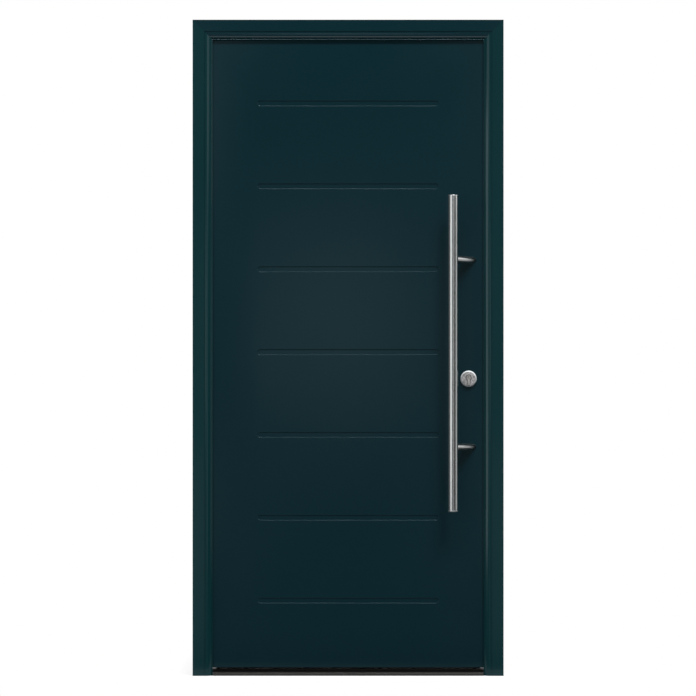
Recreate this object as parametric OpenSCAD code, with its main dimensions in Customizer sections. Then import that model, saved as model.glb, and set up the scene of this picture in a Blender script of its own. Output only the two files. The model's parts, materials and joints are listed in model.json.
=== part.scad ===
// Front door with its frame: an inward opening steel leaf with seven horizontal grooves,
// a long round bar handle outside and a lever inside, in an aluminium frame.
// Outside faces -Y, inside faces +Y, +X is to the right seen from outside, +Z is up.
// The origin is at the bottom of the frame, in the middle of its width and depth.

/* [Frame] */
// Width over the frame
frame_w = 1000; // [940:10:1150]
// Height of the frame above the floor
frame_h = 2110; // [2000:10:2250]
// Depth of the frame from outside to inside
frame_d = 80; // [78:1:90]
// Width of the frame face seen from outside
face_w = 64; // [62:1:70]
// Width of the frame beside the leaf
back_w = 38; // [38:1:40]
// Wall of the aluminium profiles
frame_wall = 2; // [1.6:0.1:2.2]
// Length of the plastic bars between the outer and the inner profiles
isolator_len = 20; // [16:1:22]
// Room for the stop seal between the stop lip and the leaf
lip_t = 4; // [3.5:0.5:5]
// Arm of the corner cleats
cleat_len = 80; // [60:5:120]
// Radius of the anchor holes in the uprights
anchor_r = 5.1; // [4.1:0.1:5.5]
// Distance of the end anchor holes from the ends of the uprights
anchor_end = 155; // [120:5:250]
// Distance of the anchor holes from the middle of the depth
anchor_y = 25; // [22:1:28]

/* [Threshold] */
// Height of the threshold
threshold_h = 20; // [18:1:21]
// Distance of the threshold nose behind the frame face
threshold_set = 2; // [1:0.5:4]
// Height of the lower nose of the threshold
nose_h = 8; // [6:0.5:9]
// Depth of the plastic core of the threshold
core_d = 12; // [10:1:14]

/* [Leaf] */
// Distance of the leaf behind the frame face
leaf_set = 15; // [15:1:17]
// Gap between the edge of the leaf and the frame
leaf_gap = 4; // [4:0.5:5]
// Height of the lower edge of the leaf above the floor
leaf_z = 25; // [25:1:28]
// Thickness of the steel skins
skin_t = 1; // [0.8:0.1:1.2]
// Outside radius of the folded edges
fold_r = 2; // [1.8:0.1:3]
// Width of the dark strip on the edge of the leaf between the two skins
strip_w = 22; // [22:1:26]
// Width of the stiles and of the top rail inside the leaf
stile_w = 31; // [31:1:40]
// Height of the bottom rail inside the leaf
bottom_rail_h = 41; // [36:1:60]

/* [Grooves] */
// Number of grooves
groove_n = 7; // [3:1:7]
// Distance from the lower edge of the leaf to the lowest groove
groove_low = 216; // [180:1:260]
// Distance from the upper edge of the leaf to the highest groove
groove_high = 225; // [180:1:260]
// Distance from the edges of the leaf to the ends of the grooves
groove_side = 166; // [150:1:260]
// Width of a groove at the face of the leaf
groove_w = 18; // [12:0.5:20]
// Depth of a groove
groove_d = 2; // [1.5:0.1:2.5]

/* [Bar handle] */
// Length of the bar with its end caps
bar_len = 1016; // [800:2:1200]
// Diameter of the bar
bar_dia = 32; // [30:1:36]
// Wall of the bar
bar_wall = 2; // [1.5:0.5:3]
// Distance from the edge of the leaf to the middle of the bar
bar_side = 123; // [122:1:140]
// Height of the middle of the bar
bar_z = 1036; // [1000:2:1060]
// Distance from the face of the leaf to the middle of the bar
bar_out = 60; // [56:1:64]
// Distance between the two posts
post_pitch = 602; // [560:2:640]
// Diameter of the posts
post_dia = 25; // [20:1:26]
// Height of the end caps of the bar
cap_h = 5; // [4:0.5:8]

/* [Lock] */
// Distance from the edge of the leaf to the middle of the lock
backset = 70; // [68:1:72]
// Distance from the middle of the bar down to the key plug
key_drop = 77; // [60:1:90]
// Distance from the key plug up to the lever
lever_rise = 92; // [90:1:94]
// Diameter of the rosettes
rosette_dia = 52; // [50:1:56]
// Thickness of the rosettes
rosette_t = 9; // [8:0.5:12]
// Width of the bevel round the rosettes
rosette_rim = 3.5; // [2:0.5:4]
// Distance of the middle of the lock rosettes below the key plug
rosette_drop = 3; // [2:0.5:4]
// Radius of the key plug
plug_r = 6.45; // [6:0.05:6.5]
// Distance of the key cylinder in front of the face of the outer rosette
cylinder_out = 2; // [1:0.5:3]
// Travel of the latch bolt
latch_throw = 12; // [10:0.5:12]
// Travel of the dead bolt
bolt_throw = 20; // [16:1:22]
// Distance from the lower edge of the leaf to the pivot of the lower hook
hook_low_end = 326; // [300:2:380]
// Distance from the upper edge of the leaf to the pivot of the upper hook
hook_high_end = 377; // [340:1:420]
// Length of a hook from its pivot
hook_len = 45; // [42:1:46]
// Length of the lever grip
lever_len = 125; // [100:1:135]
// Diameter of the lever
lever_dia = 18; // [16:1:20]

/* [Hinges] */
// Distance of the outer hinges from the ends of the leaf
hinge_inset = 230; // [180:5:280]
// Radius of the hinge knuckles
knuckle_r = 11; // [10.5:0.5:11.5]
// Radius of the hinge pins
pin_r = 6; // [5:0.5:6]
// Height of a hinge
hinge_h = 110; // [100:2:130]
// Thickness of the hinge plates
plate_t = 4; // [3.5:0.5:5]
// Width of the hinge plates
plate_w = 25; // [24:0.5:26]

/* [Screws] */
// Radius of the screws
screw_r = 2.4; // [2:0.1:2.5]
// Length of the screws
screw_len = 18; // [16:1:20]

/* [Hidden] */
$fn = 64;

powder_coat = [0.07, 0.16, 0.18];
stainless = [0.62, 0.63, 0.62];
mill_aluminium = [0.55, 0.56, 0.55];
dark_plastic = [0.07, 0.07, 0.07];
zinc = [0.70, 0.70, 0.68];
foam = [0.90, 0.86, 0.70];

e = 1;                    // overshoot of cutting shapes
run_gap = 0.05;           // radial gap of parts that turn in each other
near_gap = 0.3;           // gap between parts that move past each other

// Places across the depth
y_out = -frame_d / 2;
y_in = frame_d / 2;
y_leaf = y_out + leaf_set;
leaf_d = y_in - y_leaf;
y_mid = (y_leaf + y_in) / 2;
y_stop = y_leaf - lip_t;

// Places across the width and the height
rebate_x = frame_w / 2 - back_w;
lip_x = frame_w / 2 - face_w;
leaf_w = 2 * (rebate_x - leaf_gap);
leaf_x = leaf_w / 2;
leaf_h = frame_h - back_w - leaf_gap - leaf_z;
leaf_top = leaf_z + leaf_h;
flange = (leaf_d - strip_w) / 2;

// Frame profiles
iso_half = isolator_len / 2;
iso_t = 2;
iso_head = 4;
iso_head_d = 2;
iso_wall = iso_head_d + frame_wall;
iso_u = [frame_wall + 1, back_w - 1 - frame_wall];
quirk_u = back_w - 1;
quirk_w = 2.5;
quirk_d = 1.8;
bead_r = 1.5;
bead_u = face_w - bead_r;
round_u = quirk_u + quirk_w + 2.5;
round_w = bead_u - bead_r - round_u;
round_d = 8;
round_r = (round_w * round_w + round_d * round_d) / (2 * round_d);
lip_gap_w = 11;
lip_gap_d = y_stop - y_out - 3 * frame_wall;
seal_u = (back_w + face_w) / 2 + 4.5;
seal_stem = 3;

// Lock
lock_x = leaf_x - backset;
key_z = bar_z - key_drop;
lever_z = key_z + lever_rise;
profile_r = 8.5;
profile_leg = 10;
profile_h = 33;
profile_drop = profile_h - profile_r - profile_leg / 2;
proud = 1;
case_t = 16;
case_wall = 1.5;
case_back = lock_x - 28;
case_below = 45;
case_above = 60;
case_low = key_z - case_below;
case_top = lever_z + case_above;
plate_depth = 3;
plate_face = 20;
plate_back = leaf_x - plate_depth;
latch_t = 12;
latch_h = 32;
latch_z = lever_z + 16;
latch_back = lock_x + 35;
tail_h = 12;
bolt_t = 12;
bolt_h = 40;
bolt_z = lever_z - 22 - bolt_h;
bolt_back = lock_x - 6;
hook_t = 8;
hook_arm = 12;
hook_boss_r = 9;
hook_pin_r = 4;
beak_len = 8;
beak_h = 10;
pivot_x = leaf_x - 22;
hook_case_back = pivot_x - 17;
hook_case_below = 25;
hook_case_above = 60;
hook_z = [leaf_z + hook_low_end, leaf_top - hook_high_end];
rod_t = 3;
rod_w = 10;
rod_x = plate_back - 6;
rod_travel = 12;
rod_in = 5;
rail_t = 2;
rail_below = 80;
rail_above = 100;
rail_low = hook_z[0] - rail_below;
rail_top = hook_z[1] + rail_above;
pocket_d = max(leaf_x + bolt_throw, pivot_x + hook_len) - rebate_x + 8;
screw_end = 20;
screw_hook = 170;
screw_case = 45;
plate_screw_z = [
  rail_low + screw_end, hook_z[0] + screw_hook, case_low - screw_case,
  case_top + screw_case, hook_z[1] - screw_hook, rail_top - screw_end
];
cyl_screw_z = key_z - profile_drop;

// Bar handle
bar_x = leaf_x - bar_side;
bar_r = bar_dia / 2;
bar_y = y_leaf - bar_out;
post_r = post_dia / 2;
post_x = bar_x + bar_out;
post_z = [bar_z - post_pitch / 2, bar_z + post_pitch / 2];
post_bolt_r = 4;
post_bolt_in = 15;
post_bolt_head_r = 9;

// Lever
lever_r = lever_dia / 2;
spindle_w = 8;
spindle_in = 30;
grip_out = 38;
grip_y = y_in + rosette_t + grip_out;
follower_r = 12;
journal_r = 8;

// Hinges
hinge_n = 3;
pin_out = knuckle_r + 1;
hinge_x = -(leaf_x + rebate_x) / 2;
hinge_y = y_in + pin_out;
hinge_step = (leaf_h - 2 * hinge_inset) / (hinge_n - 1);
hinge_z = [for (i = [0:hinge_n - 1]) leaf_z + hinge_inset + i * hinge_step];
knuckle_half = hinge_h / 4;
bush_t = 2;
plate_off = knuckle_r + 1.5;
hinge_screw_pitch = 40;

// Extrudes a shape drawn in X and Z along Y
module along_y(y0, len) { translate([0, y0 + len, 0]) rotate([90, 0, 0]) linear_extrude(len) children(); }

// Extrudes a shape drawn in Y and Z along X
module along_x(x0, len) { translate([x0, 0, 0]) rotate([90, 0, 90]) linear_extrude(len) children(); }

// Places a copy at each height of a list
module at_heights(list) { for (z = list) translate([0, 0, z]) children(); }

// Anchor hole heights, symmetric about the middle of the frame
anchor_n = 4;
anchor_pitch = (frame_h - 2 * anchor_end) / (anchor_n - 1);
anchor_z = [for (i = [0:anchor_n - 1]) anchor_end + i * anchor_pitch];

// Left upright: a section drawn in distance from the outer edge and Y, mitred at the top
module upright() {
  m = 2 * face_w;
  intersection() {
    translate([-frame_w / 2, 0, 0]) linear_extrude(frame_h) children();
    along_y(-frame_d, 2 * frame_d)
      polygon([
        [-frame_w / 2, 0], [m - frame_w / 2, 0], [m - frame_w / 2, frame_h - m], [-frame_w / 2, frame_h]
      ]);
  }
}

// Head: the same section along X, mitred at both ends
module head_run() {
  m = 2 * face_w;
  intersection() {
    along_x(-frame_w / 2, frame_w) translate([0, frame_h]) rotate(-90) children();
    along_y(-frame_d, 2 * frame_d)
      polygon([
        [-frame_w / 2, frame_h], [frame_w / 2, frame_h],
        [frame_w / 2 - m, frame_h - m], [m - frame_w / 2, frame_h - m]
      ]);
  }
}

// Section of one plastic bar with its dovetail heads
module isolator_bar_section() {
  h = iso_half + iso_head_d;
  polygon([
    [-iso_t / 2, -iso_half], [-iso_head / 2, -h], [iso_head / 2, -h], [iso_t / 2, -iso_half],
    [iso_t / 2, iso_half], [iso_head / 2, h], [-iso_head / 2, h], [-iso_t / 2, iso_half]
  ]);
}

module isolator_section() { for (u = iso_u) translate([u, 0]) isolator_bar_section(); }

// Section of the outer profile: flat face, fine quirk, quarter round, bead and stop lip
module outer_section() {
  difference() {
    union() {
      translate([0, y_out]) square([quirk_u, frame_d / 2 - iso_half]);
      translate([quirk_u - e, y_stop]) square([back_w - quirk_u + e, -iso_half - y_stop]);
      translate([quirk_u - e, y_out + quirk_d]) square([quirk_w + 2 * e, y_stop - y_out - quirk_d]);
      translate([quirk_u + quirk_w, y_out]) square([round_u - quirk_u - quirk_w, y_stop - y_out]);
      intersection() {
        translate([round_u, y_out + round_r]) circle(round_r);
        translate([round_u - e, y_out]) square([round_w + bead_r + e, y_stop - y_out]);
      }
      translate([bead_u - bead_r, y_out + round_d]) square([2 * bead_r, y_stop - y_out - round_d]);
      translate([bead_u, y_out + round_d]) circle(bead_r);
    }
    translate([frame_wall, y_out + frame_wall])
      square([back_w - 2 * frame_wall, frame_d / 2 - iso_half - iso_wall - frame_wall]);
    translate([back_w + frame_wall, y_out + 2 * frame_wall]) square([lip_gap_w, lip_gap_d]);
    translate([seal_u - seal_stem / 2, y_stop - seal_stem]) square([seal_stem, seal_stem + e]);
    isolator_section();
  }
}

// Section of the inner profile: a plain chamber
module inner_section() {
  difference() {
    translate([0, iso_half]) square([back_w, y_in - iso_half]);
    translate([frame_wall, iso_half + iso_wall])
      square([back_w - 2 * frame_wall, y_in - iso_half - iso_wall - frame_wall]);
    isolator_section();
  }
}

// Section of the stop seal: a stem in its groove, a foot and a soft bulb
module seal_section() {
  bulb_r = (lip_t - near_gap) / 2;
  translate([seal_u - seal_stem / 2, y_stop - seal_stem]) square([seal_stem, seal_stem]);
  translate([seal_u - seal_stem, y_stop]) square([2 * seal_stem, 1]);
  translate([seal_u, y_stop + bulb_r]) circle(bulb_r);
}

// Part above the threshold, for pieces that stop on it
module above_threshold() {
  intersection() {
    children();
    translate([-frame_w, -frame_d, threshold_h]) cube([2 * frame_w, 2 * frame_d, frame_h]);
  }
}

module anchor_holes() {
  at_heights(anchor_z) translate([-frame_w / 2 - e, anchor_y, 0]) rotate([0, 90, 0])
    cylinder(h = back_w + 2 * e, r = anchor_r);
}

// Recesses of the right upright behind the strike rail
module strike_pockets(deep = pocket_d, slack = 2) {
  for (w = strike_windows)
    translate([rebate_x - e, y_mid - w[2] / 2 - slack, w[0] - slack])
      cube([deep + e, w[2] + 2 * slack, w[1] - w[0] + 2 * slack]);
}

// Windows for the bolts: low end, high end and width
strike_windows = [
  [latch_z - 1, latch_z + latch_h + 1, latch_t + 1.6],
  [bolt_z - 1, bolt_z + bolt_h + 1, bolt_t + 1.6],
  for (z = hook_z) [z - hook_arm / 2 - 3, z + hook_len - 3, hook_t + 2]
];

module left_jamb_outer() { color(powder_coat) upright() outer_section(); }

module left_jamb_isolators() { color(dark_plastic) upright() isolator_section(); }

module left_jamb_inner() {
  color(powder_coat) difference() {
    upright() inner_section();
    anchor_holes();
    frame_hinge_screws();
  }
}

module right_jamb_outer() {
  color(powder_coat) difference() {
    mirror([1, 0, 0]) upright() outer_section();
    strike_pockets();
  }
}

module right_jamb_isolators() {
  color(dark_plastic) difference() {
    mirror([1, 0, 0]) upright() isolator_section();
    strike_pockets();
    strike_screws();
  }
}

module right_jamb_inner() {
  color(powder_coat) difference() {
    mirror([1, 0, 0]) {
      difference() {
        upright() inner_section();
        anchor_holes();
      }
    }
    strike_pockets();
    strike_screws();
  }
}

module head_outer() { color(powder_coat) head_run() outer_section(); }

module head_isolators() { color(dark_plastic) head_run() isolator_section(); }

module head_inner() { color(powder_coat) head_run() inner_section(); }

// Angle cleats that fill the chambers at the two upper corners
module corner_cleats() {
  w = back_w - 2 * frame_wall;
  color(mill_aluminium)
    for (side = [0, 1]) mirror([side, 0, 0])
      for (y = [[y_out + frame_wall, -iso_half - iso_wall], [iso_half + iso_wall, y_in - frame_wall]])
        along_y(y[0], y[1] - y[0]) translate([-frame_w / 2 + frame_wall, frame_h - frame_wall]) {
          translate([0, -cleat_len]) square([w, cleat_len]);
          translate([0, -w]) square([cleat_len, w]);
        }
}

// Threshold sections in Y and Z
core_half = core_d / 2;
tongue_d = 2;
tongue_h = 4;

module threshold_tongues() {
  for (s = [-1, 1])
    translate([s * (core_half + tongue_d / 2), threshold_h / 2])
      square([tongue_d, tongue_h], center = true);
}

module threshold_outer() {
  nose_y = y_out + threshold_set;
  step = 3;
  color(mill_aluminium) difference() {
    along_x(-rebate_x, 2 * rebate_x) difference() {
      polygon([
        [nose_y, 0], [nose_y, nose_h], [nose_y + step, nose_h + 1.5], [nose_y + step, threshold_h - 2],
        [nose_y + step + 2, threshold_h], [-core_half, threshold_h], [-core_half, 0]
      ]);
      translate([nose_y + step + 2 * frame_wall, frame_wall])
        square([-core_half - nose_y - step - 3 * frame_wall - tongue_d, threshold_h - 2 * frame_wall]);
      threshold_tongues();
    }
    for (side = [0, 1]) mirror([side, 0, 0])
      translate([lip_x, y_out - e, -e]) cube([face_w, y_stop - y_out + e, threshold_h + 2 * e]);
  }
}

module threshold_core() {
  color(dark_plastic) along_x(-rebate_x, 2 * rebate_x) difference() {
    union() {
      translate([-core_half, 0]) square([core_d, threshold_h]);
      threshold_tongues();
    }
    translate([-core_half + 2, 3]) square([core_d - 4, threshold_h - 6]);
  }
}

module threshold_inner() {
  color(mill_aluminium) along_x(-rebate_x, 2 * rebate_x) difference() {
    translate([core_half, 0]) square([y_in - core_half, threshold_h]);
    translate([core_half + frame_wall + tongue_d, frame_wall])
      square([y_in - core_half - 2 * frame_wall - tongue_d, threshold_h - 2 * frame_wall]);
    threshold_tongues();
  }
}

module left_stop_seal() { color(dark_plastic) above_threshold() upright() seal_section(); }

module right_stop_seal() { mirror([1, 0, 0]) left_stop_seal(); }

module head_stop_seal() { color(dark_plastic) head_run() seal_section(); }

// Countersunk screw: flush head at the origin, shank along -Z
module countersunk_screw(len = screw_len) {
  translate([0, 0, -len]) cylinder(h = len, r = screw_r);
  translate([0, 0, -screw_r]) cylinder(h = screw_r, r1 = screw_r, r2 = 2 * screw_r);
}

module frame_hinge_screws() {
  translate([hinge_x - plate_off - plate_w / 2, y_in + plate_t, 0]) hinge_screw_columns();
}

module leaf_hinge_screws() {
  translate([hinge_x + plate_off + plate_w / 2, y_in + plate_t, 0]) hinge_screw_columns();
}

module hinge_screw_columns() {
  at_heights(hinge_z) at_heights([-hinge_screw_pitch, 0, hinge_screw_pitch])
    rotate([-90, 0, 0]) countersunk_screw();
}

// Screws of the strike rail, along +X
module strike_screws() {
  translate([rebate_x - rail_t, y_mid, 0]) at_heights(plate_screw_z)
    rotate([0, -90, 0]) countersunk_screw();
}

// Screws of the faceplate, along -X
module plate_screws() {
  translate([leaf_x, y_mid, 0]) at_heights(plate_screw_z) rotate([0, 90, 0]) countersunk_screw();
}

// Long steel rail on the right upright with a window for each bolt
module strike_rail() {
  color(stainless) difference() {
    translate([rebate_x - rail_t, y_mid - plate_face / 2, rail_low])
      cube([rail_t, plate_face, rail_top - rail_low]);
    for (w = strike_windows)
      translate([rebate_x - rail_t - e, y_mid - w[2] / 2, w[0]])
        cube([rail_t + 2 * e, w[2], w[1] - w[0]]);
    strike_screws();
  }
}

module frame_screws() { color(zinc) { frame_hinge_screws(); strike_screws(); } }

// Plastic caps in the anchor holes, seen in the rebate
module anchor_caps() {
  cap_t = 1;
  stem = 6;
  color(dark_plastic) for (side = [0, 1]) mirror([side, 0, 0])
    at_heights(anchor_z) translate([-rebate_x - stem, anchor_y, 0]) rotate([0, 90, 0]) {
      cylinder(h = stem, r = anchor_r);
      translate([0, 0, stem]) cylinder(h = cap_t, r = anchor_r + 2);
    }
}

// Knuckle with its web, about the hinge axis, reaching towards side -1 or 1
module knuckle(z0, z1, side, bore) {
  difference() {
    translate([0, 0, z0]) {
      cylinder(h = z1 - z0, r = knuckle_r);
      translate([side < 0 ? -plate_off : 0, -pin_out, 0]) cube([plate_off, pin_out, z1 - z0]);
    }
    translate([0, 0, z0 - e]) cylinder(h = z1 - z0 + 2 * e, r = bore);
  }
}

// Frame half of hinge i: a plate and two outer knuckles
module hinge_frame_part(i) {
  color(powder_coat) difference() {
    translate([hinge_x, hinge_y, hinge_z[i]]) {
      translate([-plate_off - plate_w, -pin_out, -hinge_h / 2]) cube([plate_w, plate_t, hinge_h]);
      knuckle(knuckle_half + bush_t, hinge_h / 2, -1, pin_r);
      knuckle(-hinge_h / 2, -knuckle_half - bush_t, -1, pin_r);
    }
    frame_hinge_screws();
  }
}

// Leaf half of hinge i: a plate and the middle knuckle
module hinge_leaf_part(i) {
  color(powder_coat) difference() {
    translate([hinge_x, hinge_y, hinge_z[i]]) {
      translate([plate_off, -pin_out, -hinge_h / 2]) cube([plate_w, plate_t, hinge_h]);
      knuckle(-knuckle_half, knuckle_half, 1, pin_r + bush_t + run_gap);
    }
    leaf_hinge_screws();
  }
}

module hinge_pins() {
  head_h = 3;
  color(stainless) translate([hinge_x, hinge_y, 0]) at_heights(hinge_z) {
    translate([0, 0, -hinge_h / 2]) cylinder(h = hinge_h, r = pin_r);
    translate([0, 0, hinge_h / 2]) cylinder(h = head_h, r = pin_r + 2);
  }
}

// Two flanged bushes in each leaf knuckle
module hinge_bushes() {
  flange_gap = 0.1;
  color(dark_plastic) translate([hinge_x, hinge_y, 0]) at_heights(hinge_z)
    for (side = [0, 1]) mirror([0, 0, side]) difference() {
      union() {
        translate([0, 0, flange_gap]) cylinder(h = knuckle_half, r = pin_r + bush_t + run_gap);
        translate([0, 0, knuckle_half]) cylinder(h = bush_t - flange_gap, r = knuckle_r - 1);
      }
      translate([0, 0, -e]) cylinder(h = hinge_h, r = pin_r + run_gap);
    }
}

// Flat shape with its two front corners rounded, centred in X, from Y 0 to d
module eased_shape(w, d, r) {
  translate([-w / 2, r]) square([w, d - r]);
  translate([-w / 2 + r, 0]) square([w - 2 * r, d]);
  for (s = [-1, 1]) translate([s * (w / 2 - r), r]) circle(r);
}

// Block from Z 0 to h with its four front edges rounded
module eased_block(w, h, d, r) {
  intersection() {
    linear_extrude(h) eased_shape(w, d, r);
    along_x(-w / 2, w) translate([0, h / 2]) mirror([1, 0]) rotate(90) eased_shape(h, d, r);
  }
}

// Folded sheet tray, open towards +Y, its face at Y 0
module folded_tray(w, h, d, t, r) {
  difference() {
    eased_block(w, h, d, r);
    translate([0, t, t]) eased_block(w - 2 * t, h - 2 * t, d, r - t);
  }
}

// Groove tool: a long trough with round ends and sloped sides, from the leaf face to depth
module groove_tool(grow, depth) {
  half = leaf_x - groove_side - groove_w / 2;
  pitch = (leaf_h - groove_low - groove_high) / (groove_n - 1);
  r = groove_w / 2 + grow;
  top = e;
  for (i = [0:groove_n - 1]) translate([0, y_leaf, leaf_z + groove_low + i * pitch]) {
    along_x(-half, 2 * half)
      polygon([[-top, -r - top], [-top, r + top], [depth, r - depth], [depth, depth - r]]);
    for (s = [-1, 1]) translate([s * half, -top, 0]) rotate([-90, 0, 0])
      cylinder(h = depth + top, r1 = r + top, r2 = r - depth);
  }
}

// Outline of the key cylinder in X and Z about the key plug
module cylinder_outline(grow = 0) {
  circle(profile_r + grow);
  translate([-profile_leg / 2 - grow, -profile_drop]) square([profile_leg + 2 * grow, profile_drop]);
  translate([0, -profile_drop]) circle(profile_leg / 2 + grow);
}

module cylinder_hole(y0, y1, grow = 0) {
  translate([lock_x, 0, key_z]) along_y(y0, y1 - y0) cylinder_outline(grow);
}

// Round solid along Y, for pieces and for the holes that they sit in
module round_rod(x, z, y0, y1, r) {
  translate([x, y0, z]) rotate([-90, 0, 0]) cylinder(h = y1 - y0, r = r);
}

// Folded outer skin with the embossed grooves
module outer_skin() {
  inside_depth = groove_d + skin_t;
  color(powder_coat) difference() {
    union() {
      translate([0, y_leaf, leaf_z]) folded_tray(leaf_w, leaf_h, flange, skin_t, fold_r);
      intersection() {
        groove_tool(skin_t / 2, inside_depth);
        translate([-leaf_x, y_leaf + skin_t / 2, leaf_z]) cube([leaf_w, flange, leaf_h]);
      }
    }
    groove_tool(0, groove_d);
    cylinder_hole(y_leaf - e, y_leaf + flange);
    for (z = post_z) round_rod(post_x, z, y_leaf - e, y_leaf + flange, post_bolt_r);
  }
}

module inner_skin() {
  color(powder_coat) difference() {
    translate([0, y_in, leaf_z]) mirror([0, 1, 0]) folded_tray(leaf_w, leaf_h, flange, skin_t, fold_r);
    cylinder_hole(y_in - flange, y_in + e);
    round_rod(lock_x, lever_z, y_in - flange, y_in + e, journal_r);
    for (z = post_z) round_rod(post_x, z, y_in - flange, y_in + e, post_bolt_r);
    leaf_hinge_screws();
  }
}

// Everything between the two skins, with the strip that shows on the edges of the leaf
module leaf_core() {
  w = leaf_w - 2 * skin_t;
  h = leaf_h - 2 * skin_t;
  d = leaf_d - 2 * skin_t;
  intersection() {
    translate([0, y_leaf + skin_t, leaf_z + skin_t]) eased_block(w, h, d, fold_r - skin_t);
    translate([0, y_in - skin_t, leaf_z + skin_t]) mirror([0, 1, 0])
      eased_block(w, h, d, fold_r - skin_t);
  }
  translate([-leaf_x, y_mid - strip_w / 2, leaf_z]) cube([leaf_w, strip_w, leaf_h]);
}

// Part of the leaf core between two places in X and in Z
module core_region(x0, x1, z0, z1) {
  intersection() {
    leaf_core();
    translate([x0, -frame_d, z0]) cube([x1 - x0, 2 * frame_d, z1 - z0]);
  }
}

// Space of the lock: faceplate, cases and drive rods
module lock_space() {
  translate([plate_back, y_mid - plate_face / 2, rail_low])
    cube([plate_depth + e, plate_face, rail_top - rail_low]);
  case_block(case_back, case_low, case_top, 0);
  for (z = hook_z) case_block(hook_case_back, z - hook_case_below, z + hook_case_above, 0);
  translate([rod_x - 1, y_mid - rod_w / 2 - 1, hook_z[0]])
    cube([plate_back - rod_x + 1, rod_w + 2, hook_z[1] - hook_z[0]]);
}

// Block of a lock case, shrunk on all sides by inset
module case_block(back, z0, z1, inset) {
  translate([back + inset, y_mid - case_t / 2 + inset, z0 + inset])
    cube([plate_back - back - 2 * inset, case_t - 2 * inset, z1 - z0 - 2 * inset]);
}

module foam_core() {
  color(foam) difference() {
    core_region(-leaf_x + stile_w, leaf_x - stile_w, leaf_z + bottom_rail_h, leaf_top - stile_w);
    intersection() {
      groove_tool(skin_t / 2, groove_d + skin_t);
      translate([-leaf_x, y_leaf, leaf_z]) cube([leaf_w, leaf_d, leaf_h]);
    }
    lock_space();
    cylinder_hole(y_leaf, y_in);
    round_rod(lock_x, lever_z, y_mid, y_in, journal_r);
    for (z = post_z) round_rod(post_x, z, y_leaf, y_in, post_bolt_r);
  }
}

module hinge_stile() {
  color(dark_plastic) difference() {
    core_region(-leaf_x, -leaf_x + stile_w, leaf_z, leaf_top);
    leaf_hinge_screws();
  }
}

module lock_stile() {
  color(dark_plastic) difference() {
    core_region(leaf_x - stile_w, leaf_x, leaf_z, leaf_top);
    lock_space();
    plate_screws();
  }
}

module top_rail() {
  half = leaf_x - stile_w;
  color(dark_plastic) core_region(-half, half, leaf_top - stile_w, leaf_top);
}

module bottom_rail() {
  color(dark_plastic) difference() {
    core_region(-leaf_x + stile_w, leaf_x - stile_w, leaf_z, leaf_z + bottom_rail_h);
    bottom_seal_shape();
  }
}

// Seal under the leaf: a stem in the bottom rail and a lip down to the threshold
module bottom_seal_shape() {
  stem_h = 6;
  tip_z = threshold_h + near_gap;
  half = leaf_x - stile_w;
  along_x(-half, 2 * half) translate([y_mid, 0])
    polygon([
      [-3, leaf_z + stem_h], [3, leaf_z + stem_h], [3, leaf_z], [5, leaf_z],
      [1.5, tip_z], [-1.5, tip_z], [-5, leaf_z], [-3, leaf_z]
    ]);
}

module bottom_seal() { color(dark_plastic) bottom_seal_shape(); }

// Long steel faceplate on the edge of the leaf
module lock_faceplate() {
  color(stainless) difference() {
    translate([plate_back, y_mid - plate_face / 2, rail_low])
      cube([plate_depth, plate_face, rail_top - rail_low]);
    for (w = bolt_windows)
      translate([plate_back - e, y_mid - w[2] / 2, w[0]]) cube([plate_depth + 2 * e, w[2], w[1] - w[0]]);
    plate_screws();
    cylinder_screw();
  }
}

// Windows in the faceplate and in the front of the cases
bolt_windows = [
  [latch_z - near_gap, latch_z + latch_h + near_gap, latch_t + 2 * near_gap],
  [bolt_z - near_gap, bolt_z + bolt_h + near_gap, bolt_t + 2 * near_gap],
  for (z = hook_z) [z - hook_boss_r, z + hook_len + 2, hook_t + 2]
];

// Long screw that holds the key cylinder, through the faceplate
module cylinder_screw() {
  translate([leaf_x, y_mid, cyl_screw_z]) rotate([0, 90, 0]) countersunk_screw(backset + profile_leg / 2);
}

// Sheet steel case of the main lock
module lock_case() {
  color(zinc) difference() {
    case_block(case_back, case_low, case_top, 0);
    case_block(case_back, case_low, case_top, case_wall);
    for (i = [0, 1]) {
      w = bolt_windows[i];
      translate([plate_back - case_wall - e, y_mid - w[2] / 2, w[0]])
        cube([case_wall + 2 * e, w[2], w[1] - w[0]]);
    }
    cylinder_hole(y_mid - case_t, y_mid + case_t, run_gap);
    cylinder_screw();
    round_rod(lock_x, lever_z, y_mid - case_t, y_mid + case_t, journal_r + run_gap);
    rod_slots(case_low - e, case_top + e);
  }
}

// Slots for the drive rods between two heights
module rod_slots(z0, z1) {
  translate([rod_x - near_gap, y_mid - rod_w / 2 - near_gap, z0])
    cube([rod_t + 2 * near_gap, rod_w + 2 * near_gap, z1 - z0]);
}

// Sheet steel case of a hook at height z, with the rivet that the hook turns on
module hook_case(z) {
  z0 = z - hook_case_below;
  z1 = z + hook_case_above;
  color(zinc) {
    difference() {
      case_block(hook_case_back, z0, z1, 0);
      case_block(hook_case_back, z0, z1, case_wall);
      translate([plate_back - case_wall - e, y_mid - hook_t / 2 - 1, z - hook_boss_r])
        cube([case_wall + 2 * e, hook_t + 2, hook_boss_r + hook_len + 2]);
      rod_slots(z0 - e, z1 + e);
    }
    round_rod(pivot_x, z, y_mid - case_t / 2 + case_wall, y_mid + case_t / 2 - case_wall, hook_pin_r);
  }
}

// Key cylinder housing with its plug bore and the slot for the cam
cam_d = 10;
cam_r = 14;
cyl_y0 = y_leaf - rosette_t - cylinder_out;
cyl_y1 = y_in + rosette_t + proud;

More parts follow.
